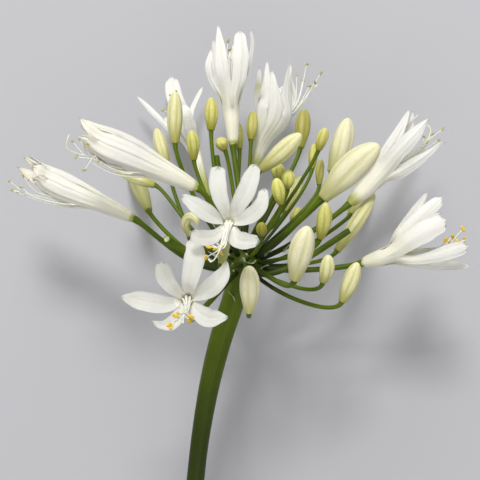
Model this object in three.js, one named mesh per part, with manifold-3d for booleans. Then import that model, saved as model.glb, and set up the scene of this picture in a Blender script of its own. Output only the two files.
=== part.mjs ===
// Agapanthus flower stem: one umbel of white florets on its cut scape, lying on its back.
// Millimetres, +Z up. The umbel lies at +Y, the cut end of the scape at -Y, and the surface is z = 0.
import * as THREE from "three";
import { mergeVertices } from "three/addons/utils/BufferGeometryUtils.js";
import Module from "manifold-3d";

const wasm = await Module();
wasm.setup();

// Driving dimensions. Places are measured from the hub, the centre of the scape's swollen top.
const HUB_HEIGHT = 60;
const HUB_RADIUS = 7.5;
const ROOT_GAP = 0.3;
const ROOT_SPACING = 2.9;
const SLIMMEST_PEDICEL = 0.45;
const PEDICEL_PER_BUD_WIDTH = 0.065;
const SCAPE_TOP_RADIUS = 5;
const SCAPE_CUT_RADIUS = 3.8;
const SCAPE_BENDS = [
  [-4.5, -15, -3.6],
  [-10, -32, -7.6],
  [-15.7, -56, -13.2],
  [-20.7, -90, -21.2],
  [-25, -160, -37.6],
];
const CUT_END = [-28, -236];
const PERIANTH_WALL = 0.6;
const JOINT_RADIUS = 1.7;
const FLOWER_PEDICEL_RADIUS = 1.25;
const BUD_WIDEST_AT = 0.58;
const LOBE_WIDEST_AT = 0.6;
const LOBE_CUP = 0.13;
const FILAMENT_RADIUS = 0.35;
const ANTHER_RADIUS = 0.75;
const ANTHER_LENGTH = 3;
const THREAD_SPREAD = 1.3;
const COLLAR_REACH = 0.6;
const COLLAR_WALL = 0.6;
const STYLE_RADIUS = 0.3;
const OVARY_RADIUS = 0.8;

// How far the handles of the curves reach, as shares of their length, and at most in millimetres
const ROOT_REACH = 0.35;
const JOINT_REACH = 0.3;
const LONGEST_JOINT_REACH = 7;
const THROAT_REACH = 0.35;
const TIP_REACH = 0.3;

// Facets, and the shares of a length at which a piece is cut into them or changes
const TEPALS = 6;
const SCAPE_STEPS = 14;
const SCAPE_SIDES = 12;
const PEDICEL_STEPS = 6;
const BUD_SIDES = 6;
const BUD_SHARES = [0.14, 0.35, 0.58, 0.8, 0.94, 0.995];
const TUBE_SHARES = [0.1, 0.55, 1];
const HOLLOW_SHARES = [0.25, 0.55, 1];
const OVARY_SHARES = [0.27, 0.4];
const STYLE_FOOT = 0.5;
const STAMENS_FOOT = 0.7;
const BUD_SWELL_FROM = -0.22;
const LOBE_ENDS_AT = 1.02;
const SCAPE_SWELLS_FROM = 0.28;
const SCAPE_FULL_WIDTH_AT = 0.8;
const DOME_STEPS = [-5, -2.5, 0, 2.5, 5, 6.9];
const LOBE_STEPS = 5;
const THREAD_STEPS = 4;
const SPREADING_ROUNDS = 400;

// Open florets: the joint with the pedicel, the throat where the tepals part, the six tepal tips,
// the six anthers, the stigma and the mouth that their threads pass through. A floret that doesn't
// leave the hub straight names its way out.
const FLOWERS = {
  left: {
    joint: [-46, 19, 0],
    throat: [-60, 26, 0],
    leave: [-93, -15, -8],
    throatRadius: 3.5,
    lobeWidth: 6,
    curl: 0,
    tips: [[-91, 45, -1], [-89, 42, 4], [-89, 37, 5], [-87, 35, 0], [-94, 39, -5], [-92, 43, -5]],
    anthers: [[-99, 35, 0], [-93, 33, 4], [-90, 34, 8], [-96, 37, 3], [-97, 31, 1], [-95, 30, -4]],
    mouth: [-90, 40, 0],
    stigma: [-97, 30, -2],
  },
  upper_left: {
    joint: [-19, 31, 35],
    throat: [-34, 38, 39],
    throatRadius: 4.3,
    lobeWidth: 7,
    curl: 0,
    tips: [[-64, 57, 46], [-62, 53, 53], [-59, 47, 55], [-56, 41, 51], [-58, 43, 42], [-66, 52, 38]],
    anthers: [[-67, 49, 46], [-66, 42, 48], [-62, 37, 50], [-57, 38, 57], [-64, 46, 54], [-69, 45, 42]],
    mouth: [-60, 48, 46],
    stigma: [-71, 41, 51],
  },
  back: {
    joint: [-16, 29, -30],
    throat: [-22, 51, -34],
    throatRadius: 2.5,
    lobeWidth: 8,
    curl: 0.3,
    tips: [[-33, 85, -50], [-48, 76, -46], [-33, 69, -27], [-29, 70, -23], [-25, 74, -30], [-18, 80, -46]],
    anthers: [[-36, 68, -35], [-32, 75, -38], [-30, 78, -40], [-30, 71, -32], [-28, 74, -42], [-27, 71, -36]],
    mouth: [-29, 74, -37],
    stigma: [-30, 78, -36],
  },
  top: {
    joint: [-5, 51, -8],
    throat: [-6, 71, -9],
    throatRadius: 3,
    lobeWidth: 7,
    curl: 0.15,
    tips: [[-14, 91, -6], [-13, 96, -14], [-11, 100, -2], [-2, 98, -1], [3, 100, -8], [-3, 97, -17]],
    anthers: [[-7, 95, -9], [-6, 91, -12], [-8, 89, -12], [-5, 92, -6], [-8, 91, -8], [-3, 88, -11]],
    mouth: [-6, 92, -9],
    stigma: [-4, 97, -10],
  },
  top_right: {
    joint: [4, 42, -32],
    throat: [8, 60, -33],
    throatRadius: 3.6,
    lobeWidth: 6,
    curl: 0,
    tips: [[6, 87, -30], [10, 90, -38], [12, 84, -26], [19, 84, -25], [20, 89, -37], [26, 73, -31]],
    anthers: [[23, 84, -32], [28, 89, -34], [34, 84, -30], [31, 80, -27], [29, 79, -35], [26, 82, -38]],
    mouth: [16, 83, -31],
    stigma: [33, 81, -31],
  },
  upper_right: {
    joint: [45, 26, -20],
    throat: [55, 34, -22],
    throatRadius: 3.5,
    lobeWidth: 7,
    curl: 0.1,
    tips: [[71, 67, -20], [74, 67, -32], [79, 62, -12], [86, 52, -12], [79, 52, -25], [76, 65, -26]],
    anthers: [[86, 59, -22], [81, 56, -18], [79, 53, -15], [78, 56, -24], [85, 55, -26], [82, 60, -26]],
    mouth: [76, 56, -22],
    stigma: [88, 56, -24],
  },
  right: {
    joint: [49, 1, 5],
    throat: [64, 6, 8],
    leave: [98, -20, 5],
    throatRadius: 3.6,
    lobeWidth: 8,
    curl: 0.2,
    tips: [[77, 30, 4], [81, 27, 16], [82, 22, 0], [83, 19, 20], [92, 7, 13], [95, 0, 2]],
    anthers: [[82, 10, 16], [87, 12, 10], [90, 15, 12], [92, 10, 6], [87, 9, 4], [88, 13, 18]],
    mouth: [80, 14, 10],
    stigma: [92, 12, 12],
  },
  front: {
    joint: [-9, 0, 45],
    throat: [-6, 17, 58],
    throatRadius: 3.2,
    lobeWidth: 8,
    curl: 0.3,
    tips: [[-10, 37, 60], [5, 39, 58], [8, 27, 66], [5, 9, 76], [-19, 11, 76], [-23, 26, 66]],
    anthers: [[-13, 7, 76], [-14, 3, 72], [-11, 6, 80], [-9, 4, 78], [-8, 3, 74], [-12, 1, 68]],
    mouth: [-6, 20, 70],
    stigma: [-13, 4, 80],
  },
  lower_left: {
    joint: [-21, -21, 38],
    throat: [-22, -14, 56],
    throatRadius: 3.2,
    lobeWidth: 8,
    curl: 0.3,
    tips: [[-20, 11, 58], [-7, 1, 64], [-7, -19, 70], [-30, -25, 74], [-47, -12, 60], [-33, -1, 68]],
    anthers: [[-28, -22, 84], [-25, -19, 78], [-20, -19, 84], [-22, -21, 86], [-20, -22, 78], [-24, -23, 80]],
    mouth: [-23, -14, 68],
    stigma: [-23, -22, 83],
  },
};

// Buds: the joint with the pedicel, the tip, the widest diameter and, like a floret's, the way out.
const BUDS = [
  { joint: [-42, 24, -32], tip: [-52, 45, -60], width: 7.6, leave: [-60, 0, -30] },
  { joint: [-38, 34, -10], tip: [-54, 41, -12], width: 5.5, leave: [-45, 14, -4] },
  { joint: [-33, 42, -15], tip: [-38, 59, -20], width: 5.9, leave: [-45, 2, -15] },
  { joint: [-29, 51, 0], tip: [-29, 73, 0], width: 6.7 },
  { joint: [-21, 44, 5], tip: [-22, 56, 7], width: 5.5 },
  { joint: [-22, 12, 26], tip: [-23, 21, 30], width: 4.2 },
  { joint: [-14, 57, -5], tip: [-14, 71, -6], width: 5.9 },
  { joint: [-8, 48, 5], tip: [-10, 53, 6], width: 5.5 },
  { joint: [-2, 50, -18], tip: [-3, 62, -22], width: 5 },
  { joint: [3, 54, -20], tip: [4, 67, -25], width: 5 },
  { joint: [7, 39, 20], tip: [23, 53, 27], width: 7.6 },
  { joint: [7, 12, 27], tip: [7, 17, 30], width: 4.6 },
  { joint: [2, -18.6, 38], tip: [2, -0.6, 50], width: 8, leave: [1, -8, 6] },
  { joint: [14, 35, 8], tip: [14, 42, 10], width: 5.8 },
  { joint: [18, 32, 14], tip: [18, 39, 17], width: 5.6 },
  { joint: [15, 25, 22], tip: [13, 35, 27], width: 5.5 },
  { joint: [18, 23, -25], tip: [25, 39, -32], width: 5.2 },
  { joint: [21, 18, -22], tip: [24, 25, -26], width: 4.6 },
  { joint: [24, 50, -12], tip: [26, 67, -16], width: 6.7 },
  { joint: [29, 41, -12], tip: [30, 52, -15], width: 4.2 },
  { joint: [31, 48, 5], tip: [34, 57, 7], width: 5 },
  { joint: [32, 34, -8], tip: [33, 45, -10], width: 3.8 },
  { joint: [37, 39, -2], tip: [44, 62, -3], width: 9.2 },
  { joint: [32, 27, 25], tip: [54, 48, 34], width: 11.8 },
  { joint: [31, 11, 22], tip: [33, 25, 28], width: 6.3 },
  { joint: [20, -6, 42], tip: [25, 15, 50], width: 9.7 },
  { joint: [32, -7, 25], tip: [34, 4, 29], width: 6.1, leave: [87, -50, 20] },
  { joint: [40, -15, 20], tip: [46, 1, 24], width: 6.9, leave: [80, -60, 10] },
  { joint: [40, 6, -18], tip: [57, 31, -28], width: 6.5 },
  { joint: [47, 22, -35], tip: [58, 34, -60], width: 6.7 },
];

// Pedicels whose florets were cut away: the cut end, the diameter and the way out.
const CUT_PEDICELS = [
  { end: [-32, 11, 10], width: 2.9, leave: [-90, -8, 36] },
  { end: [-12, 47, -15], width: 2.7 },
];

const vec = (place) => new THREE.Vector3(...place);
const unit = (place) => vec(place).normalize();

const MATERIALS = {
  scape: { color: 0x46601a, roughness: 0.45 },
  bud: { color: 0xdedb92, roughness: 0.5 },
  cutPedicel: { color: 0x4f7a1d, roughness: 0.5 },
  perianth: { color: 0xf1f1e8, roughness: 0.55 },
  stamens: { color: 0xe0c860, roughness: 0.7 },
  pistil: { color: 0xd9e0a8, roughness: 0.6 },
};

// A closed surface gathered point by point. Rings turn anticlockwise about the way they advance.
class Shell {
  points = [];
  faces = [];

  point(place) {
    this.points.push(place.x, place.y, place.z);
    return this.points.length / 3 - 1;
  }

  ring(places) {
    return places.map((place) => this.point(place));
  }

  quad(a, b, c, d) {
    this.faces.push(a, b, c, a, c, d);
  }

  band(from, to) {
    from.forEach((corner, i) => {
      const next = (i + 1) % from.length;
      this.quad(corner, from[next], to[next], to[i]);
    });
  }

  startCap(ring, centre) {
    const middle = this.point(centre);
    ring.forEach((corner, i) => this.faces.push(middle, ring[(i + 1) % ring.length], corner));
  }

  endCap(ring, centre) {
    const middle = this.point(centre);
    ring.forEach((corner, i) => this.faces.push(middle, corner, ring[(i + 1) % ring.length]));
  }

  geometry() {
    const geometry = new THREE.BufferGeometry();
    geometry.setAttribute("position", new THREE.Float32BufferAttribute(this.points, 3));
    geometry.setIndex(this.faces);
    geometry.computeVertexNormals();
    return geometry;
  }
}

function anyNormal(direction) {
  const helper = Math.abs(direction.z) < 0.9 ? new THREE.Vector3(0, 0, 1) : new THREE.Vector3(1, 0, 0);
  return helper.cross(direction).normalize();
}

// Normals carried back without twist from the last station of a sweep to its first.
function carriedNormals(tangents, lastNormal) {
  const normals = tangents.map(() => lastNormal.clone());
  for (let i = tangents.length - 2; i >= 0; i -= 1) {
    const turn = new THREE.Quaternion().setFromUnitVectors(tangents[i + 1], tangents[i]);
    normals[i].copy(normals[i + 1]).applyQuaternion(turn);
  }
  return normals;
}

function circle(centre, tangent, normal, radius, sides) {
  const across = tangent.clone().cross(normal);
  return Array.from({ length: sides }, (_, i) => {
    const angle = (i / sides) * 2 * Math.PI;
    const place = centre.clone().addScaledVector(normal, radius * Math.cos(angle));
    return place.addScaledVector(across, radius * Math.sin(angle));
  });
}

// Rings of a sweep whose stations hold a centre, a tangent and a radius.
function sweepRings(shell, stations, sides, lastNormal) {
  const normals = carriedNormals(stations.map((s) => s.tangent), lastNormal);
  const rings = stations.map((s, i) => shell.ring(circle(s.centre, s.tangent, normals[i], s.radius, sides)));
  rings.slice(1).forEach((ring, i) => shell.band(rings[i], ring));
  return rings;
}

// A closed rod along its stations, with flat ends.
function rod(stations, sides) {
  const shell = new Shell();
  const last = stations[stations.length - 1];
  const rings = sweepRings(shell, stations, sides, anyNormal(last.tangent));
  shell.startCap(rings[0], stations[0].centre);
  shell.endCap(rings[rings.length - 1], last.centre);
  return shell.geometry();
}

// Stations along a curve, with the radius as a function of the share of its length.
function stationsAlong(curve, steps, radiusAt) {
  return Array.from({ length: steps + 1 }, (_, i) => {
    const share = i / steps;
    return { centre: curve.getPoint(share), tangent: curve.getTangent(share), radius: radiusAt(share) };
  });
}

// Roots of the pedicels: unit directions from the hub, pushed apart until none crowds its neighbour.
function spreadRoots(directions) {
  const closest = ROOT_SPACING / HUB_RADIUS;
  const roots = directions.map((direction) => direction.clone());
  for (let round = 0; round < SPREADING_ROUNDS; round += 1) {
    roots.forEach((a, i) =>
      roots.slice(i + 1).forEach((b) => {
        const short = closest - a.angleTo(b);
        if (short <= 0) return;
        const apart = b.clone().sub(a).setLength(short / 2);
        a.sub(apart).normalize();
        b.add(apart).normalize();
      }),
    );
  }
  return roots;
}

function pedicelCurve(root, joint, axis) {
  const start = root.clone().multiplyScalar(HUB_RADIUS + ROOT_GAP);
  const reach = start.distanceTo(joint);
  const out = start.clone().addScaledVector(root, ROOT_REACH * reach);
  const into = joint.clone().addScaledVector(axis, -Math.min(JOINT_REACH * reach, LONGEST_JOINT_REACH));
  return new THREE.CubicBezierCurve3(start, out, into, joint);
}

const pedicelRadius = (budWidth) => SLIMMEST_PEDICEL + PEDICEL_PER_BUD_WIDTH * budWidth;

// A bud is slim at the joint, widest past the middle and blunt at the tip.
function budRadius(share, jointRadius, widestRadius) {
  if (share < BUD_WIDEST_AT) {
    const swell = THREE.MathUtils.smoothstep(share, BUD_SWELL_FROM, BUD_WIDEST_AT);
    return THREE.MathUtils.lerp(jointRadius, widestRadius, swell);
  }
  return widestRadius * Math.sqrt(1 - ((share - BUD_WIDEST_AT) / (1 - BUD_WIDEST_AT)) ** 2);
}

function bud({ joint, tip, width }, root) {
  const axis = vec(tip).sub(vec(joint)).normalize();
  const radius = pedicelRadius(width);
  const stations = stationsAlong(pedicelCurve(root, vec(joint), axis), PEDICEL_STEPS - 1, () => radius);
  BUD_SHARES.forEach((share) => {
    const centre = vec(joint).lerp(vec(tip), share);
    stations.push({ centre, tangent: axis, radius: budRadius(share, radius, width / 2) });
  });
  return rod(stations, BUD_SIDES);
}

function cutPedicel({ end, width }, root) {
  const axis = unit(end);
  return rod(stationsAlong(pedicelCurve(root, vec(end), axis), PEDICEL_STEPS, () => width / 2), BUD_SIDES);
}

// Places sorted anticlockwise round a floret's axis, and the roll that fits six even sectors to them.
function sectorsRound({ joint, throat }, places) {
  const centre = vec(throat);
  const axis = centre.clone().sub(vec(joint)).normalize();
  const zero = anyNormal(axis);
  const quarter = axis.clone().cross(zero);
  const angleOf = (place) => {
    const away = vec(place).sub(centre);
    return Math.atan2(away.dot(quarter), away.dot(zero));
  };
  const sorted = [...places].sort((a, b) => angleOf(a) - angleOf(b));
  const offsets = sorted.map((place, i) => angleOf(place) - (i / TEPALS) * 2 * Math.PI);
  const sum = (f) => offsets.reduce((total, offset) => total + f(offset), 0);
  const roll = Math.atan2(sum(Math.sin), sum(Math.cos));
  const radials = sorted.map((_, i) => {
    const angle = roll + (i / TEPALS) * 2 * Math.PI;
    return zero.clone().multiplyScalar(Math.cos(angle)).addScaledVector(quarter, Math.sin(angle));
  });
  return { axis, sorted, radials };
}

function tubeStation(flower, axis, share, inset) {
  const length = vec(flower.throat).distanceTo(vec(flower.joint));
  const centre = vec(flower.joint).addScaledVector(axis, share * length);
  const radius = THREE.MathUtils.lerp(JOINT_RADIUS, flower.throatRadius, share) - inset;
  return { centre, tangent: axis, radius };
}

// The curve of a tepal's midrib from the throat to its tip.
function midribCurve(flower, axis, radial, tip) {
  const start = vec(flower.throat).addScaledVector(radial, flower.throatRadius);
  const end = vec(tip);
  const length = start.distanceTo(end);
  const out = start.clone().addScaledVector(axis, THROAT_REACH * length);
  const way = end.clone().sub(start).normalize().addScaledVector(radial, flower.curl).normalize();
  const into = end.clone().addScaledVector(way, -TIP_REACH * length);
  return new THREE.CubicBezierCurve3(start, out, into, end);
}

function lobeWidthAt(share, narrow, wide) {
  const swell = THREE.MathUtils.smoothstep(share, 0, LOBE_WIDEST_AT);
  if (share < LOBE_WIDEST_AT) return THREE.MathUtils.lerp(narrow, wide, swell);
  return wide * Math.sqrt(1 - ((share - LOBE_WIDEST_AT) / (LOBE_ENDS_AT - LOBE_WIDEST_AT)) ** 2);
}

// The three points across a tepal, outside and inside, at one share of its midrib.
function lobeSection(flower, axis, radial, curve, share) {
  const centre = curve.getPoint(share);
  const tangent = curve.getTangent(share);
  const round = axis.clone().cross(radial);
  const side = round.addScaledVector(tangent, -round.dot(tangent)).normalize();
  const outward = side.clone().cross(tangent);
  const fromThroat = centre.clone().sub(vec(flower.throat));
  const fromAxis = fromThroat.addScaledVector(axis, -fromThroat.dot(axis)).length();
  const width = Math.min(lobeWidthAt(share, flower.throatRadius, flower.lobeWidth), fromAxis);
  const cup = LOBE_CUP * width;
  const outside = [-1, 0, 1].map((across) => {
    const place = centre.clone().addScaledVector(side, (across * width) / 2);
    return place.addScaledVector(outward, -Math.abs(across) * cup);
  });
  const inside = outside.map((place) => place.clone().addScaledVector(outward, -PERIANTH_WALL));
  return { outside, inside };
}

// One tepal's free part, grown from three neighbouring points of the throat's two rings.
function addLobe(shell, sections, outerStart, innerStart) {
  let outer = outerStart;
  let inner = innerStart;
  sections.forEach(({ outside, inside }) => {
    const outerNext = shell.ring(outside);
    const innerNext = shell.ring(inside);
    [0, 1].forEach((i) => {
      shell.quad(outer[i], outer[i + 1], outerNext[i + 1], outerNext[i]);
      shell.quad(inner[i + 1], inner[i], innerNext[i], innerNext[i + 1]);
    });
    shell.quad(outer[0], outerNext[0], innerNext[0], inner[0]);
    shell.quad(outer[2], inner[2], innerNext[2], outerNext[2]);
    outer = outerNext;
    inner = innerNext;
  });
  [0, 1].forEach((i) => shell.quad(outer[i], outer[i + 1], inner[i + 1], inner[i]));
}

// Pedicel and perianth grow as one: a solid pedicel that opens into a hollow tube with six tepals.
function flowerBody(flower, root) {
  const { axis, sorted, radials } = sectorsRound(flower, flower.tips);
  const sides = 2 * TEPALS;
  const shell = new Shell();
  const pedicel = pedicelCurve(root, vec(flower.joint), axis);
  const outline = stationsAlong(pedicel, PEDICEL_STEPS, () => FLOWER_PEDICEL_RADIUS);
  TUBE_SHARES.forEach((share) => outline.push(tubeStation(flower, axis, share, 0)));
  const outerRings = sweepRings(shell, outline, sides, radials[0]);
  shell.startCap(outerRings[0], outline[0].centre);

  const hollow = HOLLOW_SHARES.map((share) => tubeStation(flower, axis, share, PERIANTH_WALL));
  const innerRings = hollow.map((s) => shell.ring(circle(s.centre, s.tangent, radials[0], s.radius, sides)));
  shell.band(innerRings[1], innerRings[0]);
  shell.band(innerRings[2], innerRings[1]);
  shell.endCap(innerRings[0], hollow[0].centre);

  const throatOut = outerRings[outerRings.length - 1];
  const throatIn = innerRings[2];
  radials.forEach((radial, i) => {
    const curve = midribCurve(flower, axis, radial, sorted[i]);
    const columns = [-1, 0, 1].map((step) => (2 * i + step + sides) % sides);
    const shares = Array.from({ length: LOBE_STEPS }, (_, step) => (step + 1) / LOBE_STEPS);
    const sections = shares.map((share) => lobeSection(flower, axis, radial, curve, share));
    addLobe(shell, sections, columns.map((c) => throatOut[c]), columns.map((c) => throatIn[c]));
  });
  return shell.geometry();
}

function solidOf(geometry) {
  const bare = geometry.clone();
  bare.deleteAttribute("normal");
  bare.deleteAttribute("uv");
  const merged = mergeVertices(bare);
  const mesh = new wasm.Mesh({
    numProp: 3,
    vertProperties: merged.attributes.position.array,
    triVerts: new Uint32Array(merged.index.array),
  });
  return new wasm.Manifold(mesh);
}

function joined(geometries) {
  const mesh = wasm.Manifold.union(geometries.map(solidOf)).getMesh();
  const geometry = new THREE.BufferGeometry();
  geometry.setAttribute("position", new THREE.BufferAttribute(mesh.vertProperties, 3));
  geometry.setIndex(new THREE.BufferAttribute(mesh.triVerts, 1));
  geometry.computeVertexNormals();
  return geometry;
}

// A thread from inside the tube, through the mouth of the floret, to its own end.
function threadCurve(flower, radial, start, end) {
  const aside = radial.clone().multiplyScalar(THREAD_SPREAD);
  const throat = vec(flower.throat).add(aside);
  const mouth = vec(flower.mouth).add(aside);
  return new THREE.CatmullRomCurve3([start, throat, mouth, end]);
}

// Six stamens, their filaments joined in a collar inside the tube.
function stamens(flower) {
  const { axis, sorted, radials } = sectorsRound(flower, flower.anthers);
  const foot = tubeStation(flower, axis, STAMENS_FOOT, 0).centre;
  const filaments = sorted.map((anther, i) => {
    const start = foot.clone().addScaledVector(radials[i], THREAD_SPREAD);
    const curve = threadCurve(flower, radials[i], start, vec(anther));
    const antherFrom = 1 - ANTHER_LENGTH / curve.getLength();
    const stations = stationsAlong(curve, THREAD_STEPS, () => FILAMENT_RADIUS);
    stations.pop();
    [antherFrom, (antherFrom + 1) / 2, 1].forEach((share, step) => {
      const radius = step === 1 ? ANTHER_RADIUS : FILAMENT_RADIUS;
      stations.push({ centre: curve.getPoint(share), tangent: curve.getTangent(share), radius });
    });
    return rod(stations, 3);
  });
  return joined([collar(foot, axis), ...filaments]);
}

function collar(foot, axis) {
  const wide = THREAD_SPREAD + COLLAR_WALL / 2;
  const narrow = THREAD_SPREAD - COLLAR_WALL / 2;
  const corners = [[narrow, -1], [wide, -1], [wide, 1], [narrow, 1], [narrow, -1]];
  const profile = corners.map(([radius, end]) => new THREE.Vector2(radius, end * COLLAR_REACH));
  const ring = new THREE.LatheGeometry(profile, 8);
  ring.applyQuaternion(new THREE.Quaternion().setFromUnitVectors(new THREE.Vector3(0, 1, 0), axis));
  return ring.translate(foot.x, foot.y, foot.z);
}

// Ovary in the foot of the tube, style and stigma.
function pistil(flower) {
  const { axis } = sectorsRound(flower, flower.tips);
  const middle = (share) => ({ ...tubeStation(flower, axis, share, 0), radius: OVARY_RADIUS });
  const ovary = OVARY_SHARES.map(middle);
  const start = middle(STYLE_FOOT).centre;
  const curve = threadCurve(flower, new THREE.Vector3(), start, vec(flower.stigma));
  const style = stationsAlong(curve, THREAD_STEPS + 2, () => STYLE_RADIUS);
  return rod([...ovary, ...style], 4);
}

// The scape from its cut end to the neck, then the rounded top that carries the pedicels.
function scape() {
  const bends = SCAPE_BENDS.map(vec);
  const lowest = bends[bends.length - 1];
  const slope = new THREE.Vector3(...CUT_END, -HUB_HEIGHT + SCAPE_CUT_RADIUS).sub(lowest).normalize();
  const lift = SCAPE_CUT_RADIUS * Math.sqrt(1 - slope.z ** 2);
  const cutEnd = new THREE.Vector3(...CUT_END, -HUB_HEIGHT + lift);
  const curve = new THREE.CatmullRomCurve3([cutEnd, ...bends.reverse(), new THREE.Vector3()]);
  const pole = curve.getTangent(1);
  const stations = stationsAlong(curve, SCAPE_STEPS, (share) => {
    const swell = THREE.MathUtils.smoothstep(share, SCAPE_SWELLS_FROM, SCAPE_FULL_WIDTH_AT);
    return THREE.MathUtils.lerp(SCAPE_CUT_RADIUS, SCAPE_TOP_RADIUS, swell);
  });
  stations.pop();
  DOME_STEPS.forEach((along) => {
    const radius = Math.sqrt(HUB_RADIUS ** 2 - along ** 2);
    stations.push({ centre: pole.clone().multiplyScalar(along), tangent: pole, radius });
  });
  return rod(stations, SCAPE_SIDES);
}

const florets = [...Object.values(FLOWERS), ...BUDS, ...CUT_PEDICELS];
const roots = spreadRoots(florets.map(({ leave, joint, end }) => unit(leave ?? joint ?? end)));

const umbel = new THREE.Group();

function place(name, geometry, { color, roughness }) {
  const mesh = new THREE.Mesh(geometry, new THREE.MeshStandardMaterial({ color, roughness, metalness: 0 }));
  mesh.name = name;
  umbel.add(mesh);
}

place("scape", scape(), MATERIALS.scape);
Object.entries(FLOWERS).forEach(([name, flower], i) => {
  place(`flower_${name}`, flowerBody(flower, roots[i]), MATERIALS.perianth);
  place(`flower_${name}_stamens`, stamens(flower), MATERIALS.stamens);
  place(`flower_${name}_pistil`, pistil(flower), MATERIALS.pistil);
});
const firstBud = Object.keys(FLOWERS).length;
BUDS.forEach((spec, i) => {
  const number = String(i + 1).padStart(2, "0");
  place(`bud_${number}`, bud(spec, roots[firstBud + i]), MATERIALS.bud);
});
CUT_PEDICELS.forEach((spec, i) => {
  place(`cut_pedicel_${i + 1}`, cutPedicel(spec, roots[firstBud + BUDS.length + i]), MATERIALS.cutPedicel);
});

// The frame: origin under the middle of the stem's box, on the surface it lies on.
const box = new THREE.Box3().setFromObject(umbel);
const middle = box.getCenter(new THREE.Vector3());
umbel.position.set(-middle.x, -middle.y, -box.min.z);

const stem = new THREE.Group();
stem.add(umbel);
export default stem;
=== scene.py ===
"""Agapanthus flower stem: an umbel of white florets and buds on its cut scape, lying on its back.

Lengths are in millimetres until a mesh is made. Places are measured from the hub, the centre of the
scape's swollen top: x to the right, y up the picture, z towards the camera that hangs over it.
"""

import math
import random
from dataclasses import dataclass, field

import bpy
import numpy as np
from mathutils import Matrix, Vector


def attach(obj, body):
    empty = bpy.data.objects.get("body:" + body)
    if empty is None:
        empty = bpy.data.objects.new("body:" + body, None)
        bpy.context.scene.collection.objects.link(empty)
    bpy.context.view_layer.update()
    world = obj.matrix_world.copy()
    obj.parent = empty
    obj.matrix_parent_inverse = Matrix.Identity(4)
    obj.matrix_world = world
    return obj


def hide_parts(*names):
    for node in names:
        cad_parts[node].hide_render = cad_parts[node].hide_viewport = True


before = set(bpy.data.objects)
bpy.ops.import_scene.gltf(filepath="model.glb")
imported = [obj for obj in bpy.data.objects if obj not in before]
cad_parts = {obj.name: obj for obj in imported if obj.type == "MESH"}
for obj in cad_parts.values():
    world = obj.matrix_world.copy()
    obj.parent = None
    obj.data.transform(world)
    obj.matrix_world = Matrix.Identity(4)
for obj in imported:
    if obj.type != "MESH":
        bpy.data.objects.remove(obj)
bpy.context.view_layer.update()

# ---------- dimensions

HUB = np.array([1.89, 68.27, 60.18])
HUB_RADIUS = 7.5
ROOT_DEPTH = 0.6
ROOT_SPACING = 2.9
SPREADING_ROUNDS = 400
PEDICEL_ROWS = 26
STALK_SIDES = 12
TURN = 6.28
JOINT_RADIUS = 1.2

CAMERA_HEIGHT = 700
PIXEL = 0.42
HUB_PIXEL = (244, 265)
PICTURE_CENTRE = (240, 240)
SENSOR = 36
PICTURE_PIXELS = 480

SCAPE_LINE = [
    (-28, -236, -56.3), (-25, -160, -37.6), (-20.7, -90, -21.2), (-15.7, -56, -13.2),
    (-10, -32, -7.6), (-4.5, -15, -3.6), (0, 0, 0),
]
SCAPE_CUT_RADIUS = 3.8
SCAPE_TOP_RADIUS = 5.0


@dataclass
class Tepal:
    """One petal-like lobe. The stations of its path add half its width in picture pixels."""

    path: list
    twist: float = 0
    wave: float = 0.25
    crease: float = 0.07
    facing: float = None
    reach: int = None
    patch: tuple = None


@dataclass
class Flower:
    joint: tuple
    throat: tuple
    radius: float
    tepals: list
    bundle: list
    anthers: list
    stigma: list
    funnel: list = field(default_factory=list)
    roll: float = None
    face: tuple = None
    facing: float = 0.8
    leave: tuple = None
    anther: float = 2.4
    fresh: bool = False
    faded: bool = False
    green: float = 0.05
    flute: float = 0

    def ends(self):
        """Its joint and its throat, in mm from the hub, and the way from one to the other."""
        joint, throat = seen(self.joint), seen(self.throat)
        return joint, throat, unit(throat - joint)


# Places in the flowers are (column, row) of the camera's 480 x 480 picture and the height above the
# hub in mm. A funnel's stations add its radius; a tepal's reach is how many of them it follows.
# Tepals go round the floret's axis in steps of 60 degrees from its roll, where 0 lies in the picture
# plane and 90 faces the camera. With no roll, they take the sectors that fit their tips. A floret with
# a face turns its lobes' inner sides that way. Green is how far up the floret its foot is tinted, and
# a tepal's patch, by middle and half length, is another tinted stretch: all are shares of UV_UNIT.
FLOWERS = {}
FLOWERS["left"] = Flower(
    joint=(134, 219, 0), throat=(101, 203.5, 0), radius=3.5, leave=(-93, -15, -8), roll=0,
    flute=0.5, faded=True, facing=0, anther=1.9,
    funnel=[(80, 195, 0, 4.9), (60, 186.5, 0, 5.8), (46, 179.5, 0, 5.2)],
    tepals=[
        Tepal([(38, 184, 1, 5), (33, 181, 2, 1.5)], crease=0.3, wave=0.5),
        Tepal([(39, 180, 5, 7), (33, 177.5, 5, 2)], crease=0.3, wave=0.4),
        Tepal([(40, 170, 6, 8), (32.5, 167, 6, 3)], crease=0.34, wave=0.4),
        Tepal([(40, 164, 1, 6), (30, 158, 1, 1.6)], crease=0.3, wave=0.6),
        Tepal([(35, 166, -4, 6), (24, 157, -4, 1.6)], crease=0.35, wave=0.9),
        Tepal([(33, 175, -4, 6), (18, 167, -4, 1.6)], crease=0.35, wave=0.9),
    ],
    bundle=[(66, 203, 1), (34, 195, 2)],
    anthers=[(9, 181, 0), (21, 187, 4), (28, 180, 8), (23, 176, 3), (12, 190, 1), (17, 192, -4)],
    stigma=[(13, 191, -2)],
)
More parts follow.
